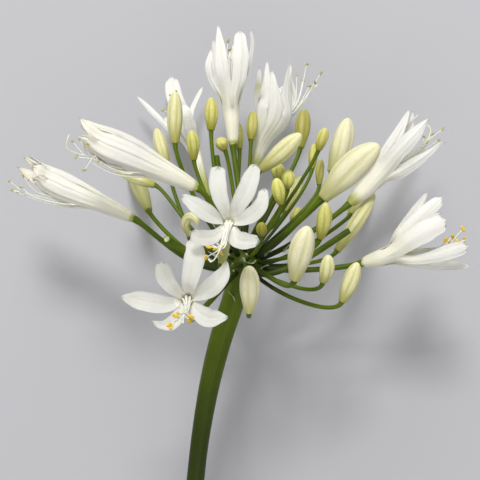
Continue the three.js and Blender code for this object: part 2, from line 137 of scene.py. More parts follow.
FLOWERS["upper_left"] = Flower(
    joint=(197, 188, 35), throat=(160, 169.5, 39), radius=4.3, roll=0, flute=0.5, faded=True,
    facing=0, anther=2.0,
    funnel=[(130, 155.5, 42, 6.6), (108, 146.5, 44, 6.9), (94, 139.5, 45, 5.8)],
    tepals=[
        Tepal([(116, 168, 45, 5), (103, 164.5, 46, 1.5)], crease=0.3, reach=1),
        Tepal([(86, 139, 51, 5), (79, 137, 50, 1.6)], crease=0.35, wave=0.5),
        Tepal([(87, 124, 50, 5), (80, 117.5, 48, 1.2)], crease=0.38, wave=0.4),
        Tepal([(92, 124, 44, 5), (85, 121, 43, 1.6)], crease=0.3),
        Tepal([(87, 129, 38, 6), (82, 125, 38, 2)], crease=0.3),
        Tepal([(91, 143, 38, 7), (88, 148, 38, 3)], crease=0.3),
    ],
    bundle=[(120, 170, 44), (95, 158, 46)],
    anthers=[(72, 141, 46), (76, 157, 48), (84, 170, 50), (98, 161.5, 53), (87, 144, 54), (79, 138, 46)],
    stigma=[(76, 153, 49), (66, 147, 50), (69, 134, 50)],
)
FLOWERS["back"] = Flower(
    joint=(208, 198, -30), throat=(195, 152, -34), radius=2.4, facing=0.9, green=0.32,
    tepals=[
        Tepal([(180, 138, -37, 3.6), (165, 124, -40, 2.8), (150, 109, -43, 2.6), (137, 96, -46, 1.4)]),
        Tepal([(186, 128, -27, 7), (178, 116, -26, 6), (174, 106, -28, 2)]),
        Tepal([(190, 126, -26, 6), (186, 112, -24, 5), (183, 104, -26, 2)]),
        Tepal([(191, 130, -36, 3.6), (191.5, 112, -40, 2.4), (197, 98, -44, 2.2), (203, 87, -46, 1.4)]),
        Tepal([(189, 132, -40, 7), (182, 115, -44, 8.5), (174, 95, -48, 8.5), (171, 76.5, -50, 6)]),
        Tepal([(183, 133, -42, 5.5), (173, 125, -46, 4.5), (165, 118, -49, 1.6)]),
    ],
    bundle=[(184, 128, -35), (178, 118, -36)],
    anthers=[
        (163, 110, -35), (171, 96, -38), (176, 92, -44), (176, 108, -32), (180, 101, -42), (183, 108, -36),
    ],
    stigma=[(176, 92, -34)],
)
FLOWERS["top"] = Flower(
    joint=(233, 145, -8), throat=(231, 112, -9), radius=3.3, facing=0.9,
    tepals=[
        Tepal([
            (222, 98, -6, 3.4), (211.5, 80, -3, 2.8), (208, 65, -2, 3.4), (211.5, 49, -4, 1.8),
        ], crease=0.2),
        Tepal([(227, 92, -3, 6), (222.5, 70, 0, 6.6), (220.5, 50, 0, 5.5), (218, 26, -2, 1.2)], crease=0.2),
        Tepal([(236, 95, -3, 6.5), (239.5, 75, 0, 7.5), (240.5, 52, 1, 9), (240, 31, -1, 5)], crease=0.2),
        Tepal([(241, 92, -9, 5), (248, 66, -8, 4), (251.5, 46, -8, 3), (250, 29, -9, 1.4)], facing=0.2),
        Tepal([(233, 92, -14, 7), (233, 70, -17, 7), (233, 48, -18, 2)]),
        Tepal([(223, 92, -13, 6), (216, 68, -15, 4), (213.5, 40, -14, 1.2)]),
    ],
    bundle=[(230, 80, -9), (229, 60, -9)],
    anthers=[(228, 41, -9), (230, 50, -14), (226, 54, -14), (232, 48, -12), (226, 52, -12), (236, 56, -14)],
    stigma=[(234, 44, -12)],
)
FLOWERS["top_right"] = Flower(
    joint=(250.5, 172, -32), throat=(258, 149, -33), radius=3.4, facing=0.3, green=0.2, anther=2.1,
    flute=0.1,
    funnel=[(263, 137, -32, 4.7), (269.5, 126, -31, 6.4), (274, 113, -31, 7.8)],
    tepals=[
        Tepal([
            (257, 99, -31, 4.5), (258, 84, -30, 3.2), (259, 68, -30, 1.8),
        ], crease=0.08, facing=0.6, patch=(0.66, 0.1)),
        Tepal([
            (265, 99, -26.5, 8), (266.5, 82, -26, 4.2), (267.5, 62, -27, 1),
        ], crease=0.15, wave=0.7, facing=0.7),
        Tepal([(276, 99, -23, 7), (274, 84, -23, 3), (272, 71, -24, 2)], crease=0.15, wave=0.7, facing=0.5),
        Tepal([(287, 99, -27, 9), (287, 82, -28, 4.6), (289.5, 63, -30, 1.4)], crease=0.16, wave=0.7),
        Tepal([(294, 99, -38, 6), (292, 86, -38, 3), (291, 76, -38, 1)], crease=0.14, wave=0.6, facing=0.3),
        Tepal([(279, 103, -41, 9), (281, 94, -44, 5.5), (283, 86, -49, 1.5)], crease=0.14, wave=0.6),
    ],
    bundle=[(280, 124, -32), (298, 106, -31)],
    anthers=[
        (297, 74, -32), (307, 64, -34), (321, 73, -30), (315, 82, -27), (309.5, 86, -35), (303, 80, -38),
    ],
    stigma=[(318, 84, -31)],
)
FLOWERS["upper_right"] = Flower(
    joint=(349, 204, -20), throat=(367, 188, -22), radius=3.7, facing=0.85, green=0.12, anther=2.0,
    tepals=[
        Tepal([
            (377, 168, -20, 8), (390, 147, -18, 7), (401, 128, -18, 5), (409, 110, -19, 1.2),
        ], crease=0.24),
        Tepal([
            (383, 170, -17, 9), (398, 152, -13, 8), (413, 136, -11, 7.5), (428, 119.5, -12, 1.2),
        ], crease=0.2),
        Tepal([
            (385, 180, -19, 6.5), (402, 171, -17, 7), (418, 161, -15, 5.5),
            (433, 150, -14, 2.5), (440, 144, -13, 1.4), (445, 142.5, -12, 0.8),
        ], crease=0.14),
        Tepal([(384, 176, -24, 6), (400, 167, -26, 4), (413, 158, -26, 3), (425, 146, -25, 0.8)]),
        Tepal([(384, 166, -29, 8), (399, 148, -31, 6.5), (409, 136, -32, 4), (413, 112, -32, 1)]),
        Tepal([
            (381, 164, -26, 8), (395, 146, -27, 6), (406, 130, -27, 3.5), (419, 115.5, -26, 1),
        ], twist=30),
    ],
    bundle=[(405, 160, -23), (420, 151, -22)],
    anthers=[
        (443, 129, -22), (432.5, 134, -18), (427.5, 142, -15),
        (424, 137, -24), (439, 140, -26), (430, 136, -26),
    ],
    stigma=[(431, 130, -24), (428, 125, -24)],
)
FLOWERS["right"] = Flower(
    joint=(362, 263, 5), throat=(380, 258, 8), radius=3.25, leave=(98, -20, 5), facing=0.9,
    anther=3.0, fresh=True, green=0.03,
    tepals=[
        Tepal([(391, 245, 6, 6), (402, 229, 5, 5), (415, 211, 4, 4.6), (427.5, 193, 4, 2)]),
        Tepal([(393, 248, 13, 8), (405, 233, 15, 8.5), (423, 215, 16, 8), (442, 198, 16, 6)], crease=0.1),
        Tepal([
            (395, 251, 14, 8), (410, 240, 18, 10), (428, 229.5, 20, 11), (445.5, 221, 20, 8.4),
        ], crease=0.12),
        Tepal([
            (395, 259.5, 12, 5), (414, 260, 13, 4.6), (434, 256.5, 15, 6.4),
            (453, 250.5, 15, 8.4), (468, 247, 13, 6),
        ], crease=0.12),
        Tepal([
            (395, 262, 5, 4.5), (414, 263, 4, 4), (434, 265, 3, 4.4), (452, 265, 3, 5), (470, 265.5, 3, 2.6),
        ]),
        Tepal([(395, 250, 3, 8), (410, 236, 1, 7), (426, 223, 0, 6), (440, 213.5, 0, 2)]),
    ],
    bundle=[(416, 252, 10), (440, 250, 10)],
    anthers=[
        (446, 240, 16), (452.5, 236.5, 12), (463, 229, 12), (464, 240, 6), (457, 241, 4), (449, 242, 8),
    ],
    stigma=[(466, 240, 12)],
)
FLOWERS["front"] = Flower(
    joint=(222, 264, 45), throat=(229, 223, 61), radius=2.1, face=(0, 0.1, 1), facing=1, fresh=True,
    green=0.45, anther=2.6,
    tepals=[
        Tepal([(224, 208, 65, 7), (219.5, 195, 66, 8.6), (217.5, 182, 65, 9.4), (218, 168, 62, 7.4)]),
        Tepal([(238, 206, 65, 8), (246, 191, 66, 9.6), (251, 178, 65, 8.6), (256.5, 164, 62, 5)]),
        Tepal([(243, 220, 66, 7.5), (256, 211.5, 68, 8.6), (262, 202, 68, 7), (263.5, 189.5, 66, 4.4)]),
        Tepal([(236, 238, 66, 9), (245, 241, 69, 8.6), (252, 241, 70, 6.6), (258.5, 241, 71, 5)]),
        Tepal([(216, 235.5, 66, 6.8), (206, 238, 69, 8.4), (197, 236.5, 71, 8), (190, 232, 72, 4.4)]),
        Tepal([(214, 217, 66, 7.6), (203, 210, 68, 9.2), (193, 203, 68, 7.4), (182, 196, 66, 3.2)]),
    ],
    bundle=[(226, 229, 67), (221, 247, 76)],
    anthers=[
        (209, 247, 76), (206, 257.5, 72), (215, 249, 74), (203, 240, 62), (212, 239, 60), (222, 254, 58),
    ],
    stigma=[(216, 257, 78), (211.5, 262, 77), (208, 259, 77)],
)
FLOWERS["lower_left"] = Flower(
    joint=(191, 318, 38), throat=(187, 300, 59), radius=2.3, face=(-0.05, 0.1, 1), facing=1,
    fresh=True, anther=3.1,
    tepals=[
        Tepal([(189.5, 284, 65, 8), (192.5, 268, 66, 10.2), (195, 253, 65, 10.6), (191, 239, 60, 5)]),
        Tepal([(205, 292, 65, 9), (216, 283, 68, 10.4), (223, 274, 67, 7.6), (226, 262.5, 64, 2)]),
        Tepal([(201, 314, 66, 9), (210, 318, 69, 10), (218, 317.5, 70, 7), (227, 317, 70, 2)]),
        Tepal([(178, 317, 66, 7), (170, 324, 69, 7.6), (161, 325, 70, 4.4), (152, 321, 71, 1.4)]),
        Tepal([(167, 304.5, 65, 8.4), (151, 302.5, 67, 10.2), (136, 299.5, 66, 9), (121, 297, 62, 2)]),
        Tepal([(173, 288, 65, 7), (166, 279, 67, 9.6), (163.5, 270, 69, 9.2), (164, 261.5, 71, 6.4)]),
    ],
    bundle=[(187, 305, 66), (184, 312, 73)],
    anthers=[
        (169, 325, 84), (178, 313.5, 78), (191, 316.5, 82),
        (175.5, 316, 82), (190, 320.5, 80), (171, 327, 78),
    ],
    stigma=[(183, 323, 83)],
)

# Buds: joint, tip, widest diameter and colour, and the way out of the hub where it isn't to the joint.
# Some colours are lighter or darker copies, as painted light and painted shade.
BUDS = [
    ((-42, 24, -32), (-52, 45, -60), 7.6, "dull_painted_shade", (-60, 0, -30)),
    ((-38, 34, -10), (-54, 41, -12), 5.5, "pale", (-45, 14, -4)),
    ((-33, 42, -15), (-38, 59, -20), 5.9, "pale", (-45, 2, -15)),
    ((-29, 51, 0), (-29, 73, 0), 6.7, "pale"),
    ((-21, 44, 5), (-22, 56, 7), 5.5, "lime"),
    ((-22, 12, 26), (-18.4, 15.6, 32), 3.9, "pale"),
    ((-14, 57, -5), (-14, 71, -6), 5.9, "lime"),
    ((-8, 48, 5), (-10, 53, 6), 5.5, "lime"),
    ((-2, 50, -18), (-3, 62, -22), 5, "lime"),
    ((3, 54, -20), (4, 67, -25), 5, "lime"),
    ((7, 39, 20), (23, 53, 27), 7.6, "pale"),
    ((7, 12, 27), (7, 17, 30), 4.6, "green"),
    ((2, -18.6, 38), (2, -0.6, 50), 8.0, "cream_painted_lit", (1, -8, 6)),
    ((14, 35, 8), (14, 42, 10), 5.8, "lime_painted_lit"),
    ((18, 32, 14), (18, 39, 17), 5.6, "lime_painted_lit"),
    ((15, 25, 22), (13, 35, 27), 5.5, "lime_painted_lit"),
    ((18, 23, -25), (25, 39, -32), 5.2, "pale"),
    ((21, 18, -22), (24, 25, -26), 4.6, "lime"),
    ((24, 50, -12), (26, 67, -16), 6.7, "olive_partly_painted_shade"),
    ((29, 41, -12), (30, 52, -15), 4.2, "lime"),
    ((31, 48, 5), (34, 57, 7), 5, "lime"),
    ((32, 34, -8), (33, 45, -10), 3.8, "lime"),
    ((37, 39, -2), (44, 62, -3), 9.2, "cream"),
    ((32, 27, 25), (54, 48, 34), 11.8, "cream"),
    ((31, 11, 22), (33, 25, 28), 6.3, "lime"),
    ((20, -6, 42), (25, 15, 50), 9.7, "cream"),
    ((32, -7, 25), (34, 4, 29), 6.1, "pale", (87, -50, 20)),
    ((40, -15, 20), (46, 1, 24), 6.9, "pale", (80, -60, 10)),
    ((40, 6, -18), (57, 31, -28), 6.5, "pale"),
    ((47, 22, -35), (58, 34, -60), 6.7, "pale"),
]

# A bud that nods over on its pedicel: places that its middle line passes between joint and tip.
BENT_BUDS = {6: [(-23.7, 16.3, 28.5), (-22, 19.3, 31), (-19.8, 18.9, 32.5)]}

# Pedicels whose florets were cut away: end, diameter, the way out of the hub, the way the cut faces.
CUT_PEDICELS = [
    ((-32, 10.8, 10), 2.9, (-90, -8, 36), (-0.45, 0.25, 1)),
    ((-12, 47, -15), 2.7, None, (-0.1, 1, 0)),
]

# One more cut pedicel, which has no node of its own: the same values, with its way out as it is.
LOOSE_STUB = ((44.2, 14.5, 0), 2.6, (0.565, -0.385, 0.73), (1, 0.62, 0))

# Papery shreds at the hub, each by places along its middle.
SHREDS = [
    [(242, 257, 6.5), (246, 262, 8.3), (252, 264, 7.6), (256, 260, 5.6)],
    [(245, 254, 5.7), (250, 256, 7.0), (255, 254, 4.8), (257, 250, 2.6)],
    [(259, 270, 3.4), (264, 267, 2.6), (269, 265, 1.4)],
    [(264, 256, 1.9), (268, 253, 3.1), (271, 248, 3.2)],
    [(225, 289, -2.1), (229, 293, 1.5), (233, 297, 2.3), (235, 302, 1.6)],
    [(227, 285, -0.3), (230, 281, 2.1), (232, 276, 3.6)],
    [(236, 272, 6.1), (232, 268, 5.9), (233, 263, 6.3)],
    [(283, 252, -4.4), (287, 248, -3.4), (291, 244, -5)],
]

# ---------- vectors and curves


def vec(place):
    return np.array(place, float)


def unit(v):
    return v / np.linalg.norm(v)


def seen(place):
    """What the camera sees at a column and row of its picture, at a height above the hub."""
    column, row, up = place[:3]
    scale = PIXEL * (1 - up / CAMERA_HEIGHT)
    return np.array([(column - HUB_PIXEL[0]) * scale, (HUB_PIXEL[1] - row) * scale, up])


def metres(places):
    """Places in mm from the hub, as places in the frame."""
    return (np.array(places, float) + HUB) / 1000


def smoothstep(x, low, high):
    t = np.clip((np.asarray(x, float) - low) / (high - low), 0, 1)
    return t * t * (3 - 2 * t)


SPAN_SAMPLES = 24


def spline(points, count):
    """Evenly spaced places on a smooth curve through the points, and each point's share of it."""
    points = np.array(points, float)
    ends = [2 * points[0] - points[1], *points, 2 * points[-1] - points[-2]]
    knots = np.cumsum([0, *[math.sqrt(np.linalg.norm(b - a)) for a, b in zip(ends, ends[1:])]])
    dense, marks = [], [0]
    for i in range(1, len(ends) - 2):
        for t in np.linspace(knots[i], knots[i + 1], SPAN_SAMPLES, endpoint=i == len(ends) - 3):
            dense.append(catmull(ends[i - 1 : i + 3], knots[i - 1 : i + 3], t))
        marks.append(len(dense) - (i == len(ends) - 3))
    dense = np.array(dense)
    steps = np.linalg.norm(np.diff(dense, axis=0), axis=1)
    along = np.concatenate([[0], np.cumsum(steps)]) / steps.sum()
    shares = np.linspace(0, 1, count)
    line = np.stack([np.interp(shares, along, dense[:, k]) for k in range(3)], axis=1)
    return line, along[marks]


def between(t, low, high, a, b):
    """The value at t where it is a at low and b at high."""
    return (high - t) / (high - low) * a + (t - low) / (high - low) * b


def catmull(p, k, t):
    """A place on the smooth curve that passes the four places p at the knots k."""
    a = [between(t, k[i], k[i + 1], p[i], p[i + 1]) for i in range(3)]
    b = [between(t, k[i], k[i + 2], a[i], a[i + 1]) for i in range(2)]
    return between(t, k[1], k[2], *b)


def bezier(a, b, c, d, count):
    t = np.linspace(0, 1, count)[:, None]
    return (1 - t) ** 3 * a + 3 * (1 - t) ** 2 * t * b + 3 * (1 - t) * t**2 * c + t**3 * d


def tangents(line):
    return np.array([unit(v) for v in np.gradient(line, axis=0)])


def turned(v, axis, angle):
    """The vector v turned round a unit axis."""
    kept = axis * np.dot(axis, v) * (1 - math.cos(angle))
    return v * math.cos(angle) + np.cross(axis, v) * math.sin(angle) + kept


def carried(ways, first):
    """A direction across a curve, carried along it without twist."""
    sides = []
    side = first
    for way in ways:
        side = unit(side - way * np.dot(side, way))
        sides.append(side)
    return np.array(sides)


def any_normal(way):
    helper = vec((0, 0, 1)) if abs(way[2]) < 0.9 else vec((1, 0, 0))
    return unit(np.cross(helper, way))


# ---------- meshes


class Shell:
    """Points, faces and face-corner UVs of one piece, gathered grid by grid."""

    def __init__(self):
        self.points, self.faces, self.uvs, self.marks, self.traits = [], [], [], [], []

    def grid(self, places, uvs, mark=0, round_=False, flip=False, traits=None):
        """A sheet of rows x columns, closed round its columns on request. Returns its point numbers.

        The mark, its material's number, is one for all faces or one for each row.
        """
        rows, columns = places.shape[:2]
        base = len(self.points)
        self.points.extend(places.reshape(-1, 3))
        if traits is not None:
            self.traits.extend(t for row in traits for t in row)
        number = base + np.arange(rows * columns).reshape(rows, columns)
        for r in range(rows - 1):
            for c in range(columns if round_ else columns - 1):
                d = (c + 1) % columns
                corners = [(r, c), (r, d), (r + 1, d), (r + 1, c)]
                spots = [uvs[r][c], uvs[r][c + 1], uvs[r + 1][c + 1], uvs[r + 1][c]]
                self.face([number[a] for a in corners], spots, mark if np.isscalar(mark) else mark[r], flip)
        return number

    def face(self, corners, spots, mark=0, flip=False):
        order = -1 if flip else 1
        self.faces.append([int(c) for c in corners[::order]])
        self.uvs.extend(spots[::order])
        self.marks.append(mark)

    def sheet(self, front, back, uvs, marks=0, traits=None):
        """A closed sheet: two grids back to back, with a rim between their edges."""
        top = self.grid(np.array(front), uvs, marks, traits=traits)
        under = self.grid(np.array(back), uvs, marks, flip=True, traits=traits)
        end, side = top.shape[0] - 1, top.shape[1] - 1
        rim = [(r, 0) for r in range(end)] + [(end, c) for c in range(side)]
        rim += [(r, side) for r in range(end, 0, -1)] + [(0, c) for c in range(side, 0, -1)]
        for a, b in zip(rim, rim[1:] + rim[:1]):
            spots = [uvs[r][c] for r, c in (b, a, a, b)]
            mark = marks if np.isscalar(marks) else marks[min(a[0], b[0])]
            self.face([top[b], top[a], under[a], under[b]], spots, mark)

    def hollow(self, ring, centre, inward, steps, spot, flip=False):
        """Closes an open end by rings that shrink and sink. spot(side, scale) is a corner's UV."""
        *rings, (_, depth, last) = steps
        lip = list(ring)
        for scale, sunk, mark in rings:
            base = len(self.points)
            self.points.extend([centre + (self.points[i] - centre) * scale + inward * sunk for i in ring])
            new = list(range(base, base + len(ring)))
            for i in range(len(ring)):
                j = (i + 1) % len(ring)
                spots = [spot(side, scale) for side in (i, j, j, i)]
                self.face([lip[i], lip[j], new[j], new[i]], spots, mark, flip)
            lip = new
        self.cap(lip, centre + inward * depth, spot(0, 0), last, flip)

    def cap(self, ring, centre, spot, mark=0, flip=False):
        middle = len(self.points)
        self.points.append(centre)
        for i, corner in enumerate(ring):
            self.face([middle, corner, ring[(i + 1) % len(ring)]], [spot] * 3, mark, flip)

    def piece(self, name, materials, slot, *nodes):
        mesh = bpy.data.meshes.new(name)
        mesh.from_pydata(metres(self.points).tolist(), [], self.faces)
        uv = mesh.uv_layers.new(name="Blade")
        uv.data.foreach_set("uv", np.array(self.uvs, float).ravel())
        mesh.polygons.foreach_set("material_index", self.marks)
        mesh.polygons.foreach_set("use_smooth", [True] * len(self.faces))
        if self.traits:
            traits = mesh.attributes.new("Traits", "FLOAT_VECTOR", "POINT")
            traits.data.foreach_set("vector", np.array(self.traits, float).ravel())
        for material in materials:
            mesh.materials.append(material)
        made = bpy.data.objects.new(name, mesh)
        bpy.context.scene.collection.objects.link(made)
        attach(made, "root")
        if nodes:
            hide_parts(*nodes)
        return made


def round_sweep(shell, line, radii, sides, bumps=None, caps=(True, True), turns=None):
    """A closed rod along a line. bumps(row, angle) scales its radius; turns shift each row's u."""
    ways = tangents(line)
    sides_across = carried(ways, any_normal(ways[0]))
    angles = np.linspace(0, 2 * math.pi, sides, endpoint=False)
    rows = []
    for r, (centre, way, side) in enumerate(zip(line, ways, sides_across)):
        other = np.cross(way, side)
        scale = np.ones(sides) if bumps is None else np.array([bumps(r, a) for a in angles])
        reach = (radii[r] * scale)[:, None]
        rows.append(centre + reach * (np.cos(angles)[:, None] * side + np.sin(angles)[:, None] * other))
    shares = np.linspace(0, 1, len(line))
    turns = np.zeros(len(line)) if turns is None else turns
    uvs = [[(t + c / sides, v) for c in range(sides + 1)] for t, v in zip(turns, shares)]
    number = shell.grid(np.array(rows), uvs, round_=True)
    if caps[0]:
        shell.cap(list(number[0]), line[0], (0.5, shares[0]), flip=True)
    if caps[1]:
        shell.cap(list(number[-1]), line[-1], (0.5, shares[-1]))
    return number


# ---------- the umbel's layout


def spread_roots(ways):
    """Directions in which the pedicels leave the hub, pushed apart until none crowds its neighbour."""
    closest = ROOT_SPACING / HUB_RADIUS
    roots = [unit(vec(w)) for w in ways]
    for _ in range(SPREADING_ROUNDS):
        for i, a in enumerate(roots):
            for j in range(i + 1, len(roots)):
                b = roots[j]
                short = closest - math.acos(np.clip(np.dot(roots[i], b), -1, 1))
                if short <= 0:
                    continue
                apart = unit(b - roots[i]) * short / 2
                roots[i] = unit(roots[i] - apart)
                roots[j] = unit(b + apart)
    return roots


def pedicel_line(root, joint, axis):
    """Out of the hub along its root, then round to the joint along the floret's axis."""
    start = root * (HUB_RADIUS - ROOT_DEPTH)
    reach = np.linalg.norm(joint - start)
    leaving = start + root * 0.35 * reach
    arriving = joint - axis * min(0.3 * reach, 7)
    return bezier(start, leaving, arriving, joint, PEDICEL_ROWS)


def flared(low):
    """How far a pedicel widens towards its joint, from 0 to 1, beginning at a share of its length."""
    return smoothstep(np.linspace(0, 1, PEDICEL_ROWS), low, 1)


def three_sided(twist):
    """Bumps that make a stalk a little three-sided."""
    return lambda row, angle: 1 + 0.05 * math.cos(3 * angle + twist * row)


# ---------- open florets

# A blade is a sixth of the tube times OVERLAP wide, SHEET thick and LAYER in front of or behind its
# neighbours. LOBE_CUP bends its free part across. UV_UNIT is the length that the UV's 1 stands for.
TUBE_SHARES = (0, 0.12, 0.4, 0.7, 1)
TUBE_ROWS = 14
LOBE_ROWS = 34
BLADE_COLUMNS = 19
TUBE_SKIN_ENDS = 0.12
OVERLAP = 1.3
LAYER = 0.13
SHEET = 0.42
LOBE_CUP = 0.08
UV_UNIT = 60
WIDTH_SMOOTHING = (0.1, 0.2, 0.4, 0.2, 0.1)
TIP_ROUNDING = 0.08
LEAST_HALF = 0.2
RIDGE_HEIGHT, RIDGE_HALF = 0.22, 0.55
PEDICEL_RADIUS, PEDICEL_FLARE = 1.15, 0.45
FILAMENT_SHARES, FILAMENT_RADII = (0, 0.28, 0.5, 1), (0.62, 0.6, 0.33, 0.17)
FILAMENT_SIDES = 7
ANTHER_ROWS = 11
OVARY_RADII = (0.7, 1.0, 1.05, 0.9, 0.6, 0.42)
STYLE_RADII = (0.36, 0.24)
STIGMA_RADII = (0.42, 0.2)
STYLE_ROWS, STYLE_SIDES = 34, 8


def sectors(flower):
    """Each tepal's azimuth round the floret's axis, in the order of their tips unless a roll is given."""
    if flower.roll is not None:
        return [(t, math.radians(flower.roll + 60 * i)) for i, t in enumerate(flower.tepals)]
    _, throat, axis = flower.ends()
    zero = any_normal(axis)
    quarter = np.cross(axis, zero)

    def azimuth(tepal):
        away = seen(tepal.path[-2]) - throat
        return math.atan2(np.dot(away, quarter), np.dot(away, zero))

    ordered = sorted(flower.tepals, key=azimuth)
    offsets = [azimuth(t) - math.radians(60 * i) for i, t in enumerate(ordered)]
    roll = math.atan2(sum(map(math.sin, offsets)), sum(map(math.cos, offsets)))
    return [(t, roll + math.radians(60 * i)) for i, t in enumerate(ordered)]


def blade(shell, flower, number, tepal, azimuth, dice):
    """One tepal from the joint to its tip: a sixth of the tube, then a free lobe."""
    joint, throat, axis = flower.ends()
    radial = turned(any_normal(axis), axis, azimuth)
    layer = LAYER if number % 2 else -LAYER
    arc = math.pi / 6 * OVERLAP

    knots, radii = [], []
    for share in TUBE_SHARES:
        radii.append(JOINT_RADIUS + (flower.radius - JOINT_RADIUS) * share**0.55)
        knots.append(joint + (throat - joint) * share + radial * radii[-1])
    for column, row, up, radius in flower.funnel[: tepal.reach]:
        radii.append(radius)
        knots.append(seen((column, row, up)) + radial * radius)
    halves = [r * arc for r in radii] + [p[3] * PIXEL * (1 - p[2] / CAMERA_HEIGHT) for p in tepal.path]
    line, marks = spline(knots + [seen(p) for p in tepal.path], TUBE_ROWS + LOBE_ROWS)
    shares = np.linspace(0, 1, len(line))
    throat_at, rounds_to = marks[len(TUBE_SHARES) - 1], marks[len(radii) - 1]
    free = np.clip((shares - throat_at) / (1 - throat_at), 0, 1)

    # Half widths along the blade, smoothed, ragged a little and rounded off at the tip.
    half = np.interp(shares, marks, halves)
    half = np.convolve(np.pad(half, 2, "edge"), WIDTH_SMOOTHING, "valid")
    phase = dice.uniform(0, TURN, 8)
    half = half * (1 + 0.035 * free * np.sin(phase[6] + 23 * free))
    near_tip = np.clip((free - (1 - TIP_ROUNDING)) / TIP_ROUNDING, 0, 1)
    half = np.maximum(half * (1 - near_tip**2.5) ** 0.5, LEAST_HALF)

    # Curvature across: the tube's own, then the lobe's.
    bend = np.interp(shares, marks[: len(radii)], [1 / r for r in radii])
    bend = bend * (1 + flower.flute * smoothstep(free, 0, 0.4))
    bend = bend + (LOBE_CUP - bend) * smoothstep(shares, rounds_to, rounds_to + 0.5 * (1 - rounds_to))

    ways = tangents(line)
    across = carried(ways, np.cross(axis, radial))
    facing = flower.facing if tepal.facing is None else tepal.facing
    front = unit(vec(flower.face)) if flower.face else vec((0, 0, -1 if radial[2] > 0 else 1))
    opens_at = (rounds_to - throat_at) / (1 - throat_at)
    opened = facing * smoothstep(free, opens_at + 0.02, opens_at + 0.45 * (1 - opens_at))[:, None]
    across = across * (1 - opened) + np.cross(front, ways) * opened
    across = np.array([unit(a - w * np.dot(a, w)) for a, w in zip(across, ways)])
    turns = np.radians(tepal.twist) * smoothstep(free, 0.15, 1)

    length = np.linalg.norm(np.diff(line, axis=0), axis=1).sum()
    spots = np.linspace(-1, 1, BLADE_COLUMNS)
    outer, inner, uvs, traits = [], [], [], []
    for r, (centre, way, side) in enumerate(zip(line, ways, across)):
        side = turned(side, way, turns[r])
        normal = np.cross(side, way)
        s = spots * half[r]
        k = bend[r] if abs(bend[r]) > 1e-3 else 1e-3
        flat = centre + np.outer(np.sin(k * s) / k, side) - np.outer((1 - np.cos(k * s)) / k, normal)
        out = np.outer(np.cos(k * s), normal) + np.outer(np.sin(k * s), side)
        f = free[r]
        flat = flat + np.outer(0.5 * smoothstep(f, 0.85, 1) * np.sin(7 * spots + phase[7]), way)

        # What lifts it off its curved section: ruffled edges, folds along it and a middle ridge.
        ruffle = np.where(
            spots > 0,
            np.sin(phase[0] + 9 * f) + 0.5 * np.sin(phase[1] + 19 * f),
            np.sin(phase[2] + 9 * f) + 0.5 * np.sin(phase[3] + 21 * f),
        )
        folds = np.cos(4.4 * spots + phase[4] + 2.5 * f) + 0.7 * np.cos(9.5 * spots + phase[5] - 2 * f)
        folds = folds + 0.2 * np.cos(17 * spots + phase[0] + 3 * f)
        lift = layer * (1 + 2.4 * f) + tepal.wave * f * (1 - 0.3 * f) * spots**2 * ruffle
        lift = lift + tepal.crease * math.sqrt(f) * (1 - 0.5 * f) * folds
        ridge = RIDGE_HEIGHT * smoothstep(shares[r], 0.08, 0.5) * (1 - f**3)
        lift = lift + ridge * np.exp(-((s / RIDGE_HALF) ** 2))

        thick = SHEET * (1 - 0.55 * spots**2)
        middle = flat + lift[:, None] * out
        outer.append(middle + out * thick[:, None] / 2)
        inner.append(middle - out * thick[:, None] / 2)
        height = shares[r] * length / UV_UNIT
        uvs.append([(0.5 + 0.5 * a, height) for a in spots])
        foot = height / flower.green
        if tepal.patch:
            middle_of_patch, reach = tepal.patch
            foot = min(foot, 0.55 + 0.45 * abs(height - middle_of_patch) / reach)
        # Each corner's traits: its fold, whose hollows the petal material darkens as painted shade, its
        # share of the free lobe and its share of the green foot.
        traits.append([(0.5 + 0.25 * g * math.sqrt(f), f, foot) for g in folds])
    shell.sheet(outer, inner, uvs, [int(f < TUBE_SKIN_ENDS) for f in free], traits)


def receptacle(shell, flower, root):
    """The pedicel and the small green swelling under the tube."""
    joint, _, axis = flower.ends()
    line = np.vstack([pedicel_line(root, joint, axis), joint + axis * 0.9, joint + axis * 1.8])
    radii = np.concatenate([PEDICEL_RADIUS + PEDICEL_FLARE * flared(0.82), [1.62, 1.3]])
    round_sweep(shell, line, radii, STALK_SIDES, three_sided(0.1))


def anther(shell, place, way, up, length, radius):
    """Two pollen sacs side by side with a groove between them."""

    def bumps(row, angle):
        return 1 - 0.3 * abs(math.sin(angle)) ** 8 + 0.04 * math.sin(5 * row + 3 * angle)

    shares = np.linspace(-1, 1, ANTHER_ROWS)
    line = np.array([place + way * length * t + up * 0.5 * t * (1 - t) for t in shares / 2])
    radii = radius * np.sqrt(np.clip(1 - np.abs(shares) ** 2.6, 0.02, 1))
    round_sweep(shell, line, radii, STALK_SIDES, bumps)


